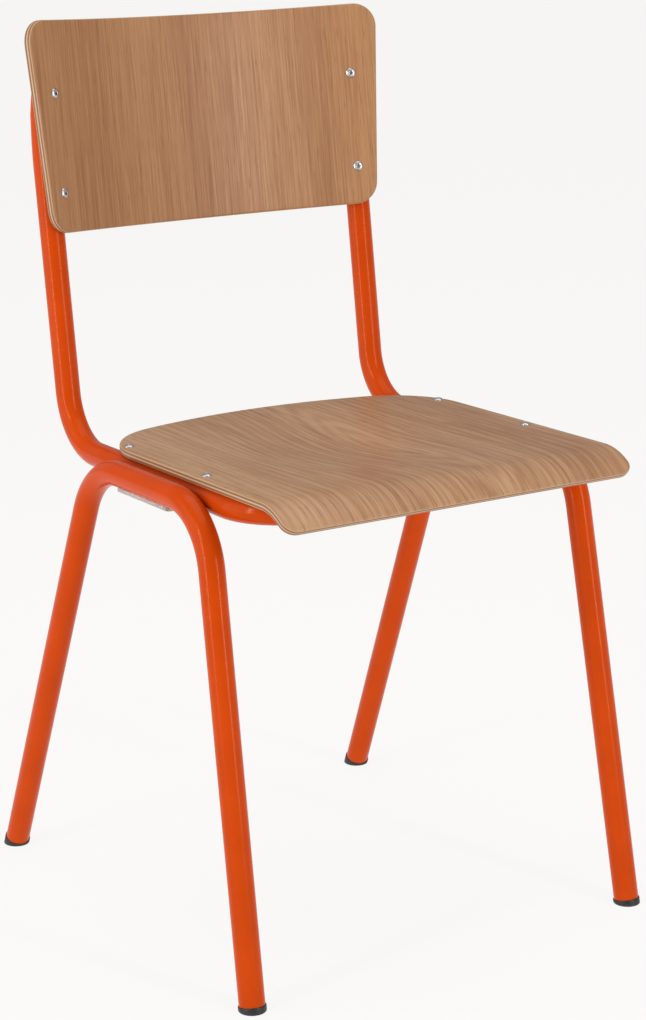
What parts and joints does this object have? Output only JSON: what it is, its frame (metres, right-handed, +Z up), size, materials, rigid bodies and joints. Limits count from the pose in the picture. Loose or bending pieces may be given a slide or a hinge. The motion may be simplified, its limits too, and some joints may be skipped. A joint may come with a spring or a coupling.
{
  "type": "stacking chair",
  "caption": "Four-legged stacking chair: bent steel tube frame in orange, with a dished plywood seat that rolls down in front and a curved plywood backrest.",
  "frame": {"origin": "middle of the chair's floor area, on the floor", "axes": "+Z up, -Y towards the front of the seat, +X towards the sitter's left, which is the right side seen from the front"},
  "size_m": [0.41, 0.495, 0.776],
  "materials": {
    "frame_paint": "orange powder coat, semi-gloss",
    "plywood": "clear-lacquered oak veneer, satin",
    "rivet_metal": "bright",
    "stem_steel": "dull",
    "cap_plastic": "satin black",
    "pad_plastic": "milky, satin"
  },
  "bodies": {
    "root": {"seat_back_frame": "frame_paint", "left_leg_frame": "frame_paint", "right_leg_frame": "frame_paint", "left_front_weld": "frame_paint", "left_rear_weld": "frame_paint", "right_front_weld": "frame_paint", "right_rear_weld": "frame_paint", "seat_panel": "plywood", "backrest_panel": "plywood", "seat_rivet_front_left": "rivet_metal", "seat_rivet_front_right": "rivet_metal", "seat_rivet_rear_left": "rivet_metal", "seat_rivet_rear_right": "rivet_metal", "back_rivet_upper_left": "rivet_metal", "back_rivet_upper_right": "rivet_metal", "back_rivet_lower_left": "rivet_metal", "back_rivet_lower_right": "rivet_metal", "seat_stem_front_left": "stem_steel", "seat_stem_front_right": "stem_steel", "seat_stem_rear_left": "stem_steel", "seat_stem_rear_right": "stem_steel", "back_stem_upper_left": "stem_steel", "back_stem_upper_right": "stem_steel", "back_stem_lower_left": "stem_steel", "back_stem_lower_right": "stem_steel", "front_left_foot_cap": "cap_plastic", "front_right_foot_cap": "cap_plastic", "rear_left_foot_cap": "cap_plastic", "rear_right_foot_cap": "cap_plastic", "left_stacking_pad": "pad_plastic", "right_stacking_pad": "pad_plastic"}
  },
  "joints": []
}
